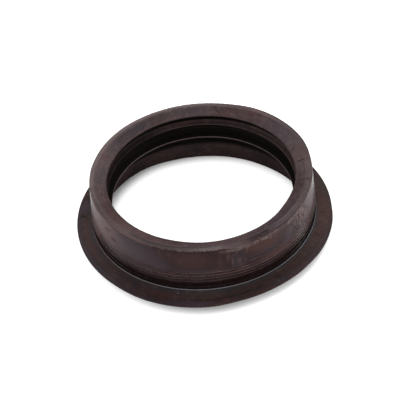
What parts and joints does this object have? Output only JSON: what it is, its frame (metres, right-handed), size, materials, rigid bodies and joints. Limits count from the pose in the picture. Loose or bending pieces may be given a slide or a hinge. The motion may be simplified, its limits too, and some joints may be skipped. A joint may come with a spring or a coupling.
{
  "type": "pipe connection seal",
  "caption": "Moulded rubber ring with ribbed bore, ridged collar, wall groove and thin flange, which seals a 110 mm pipe where it enters a hole.",
  "frame": {"origin": "on the ring's axis, in the plane of the foot that it stands on", "axes": "+Z along the ring's axis, from the foot up to the mouth that the pipe enters; the ring is turned about +Z"},
  "size_m": [0.1516, 0.1516, 0.04],
  "materials": {
    "rubber": "dark brown satin moulded rubber with a light bloom, fine mould lines and trimmed flash on its top edge"
  },
  "bodies": {
    "root": {"seal_ring": "rubber"}
  },
  "joints": []
}
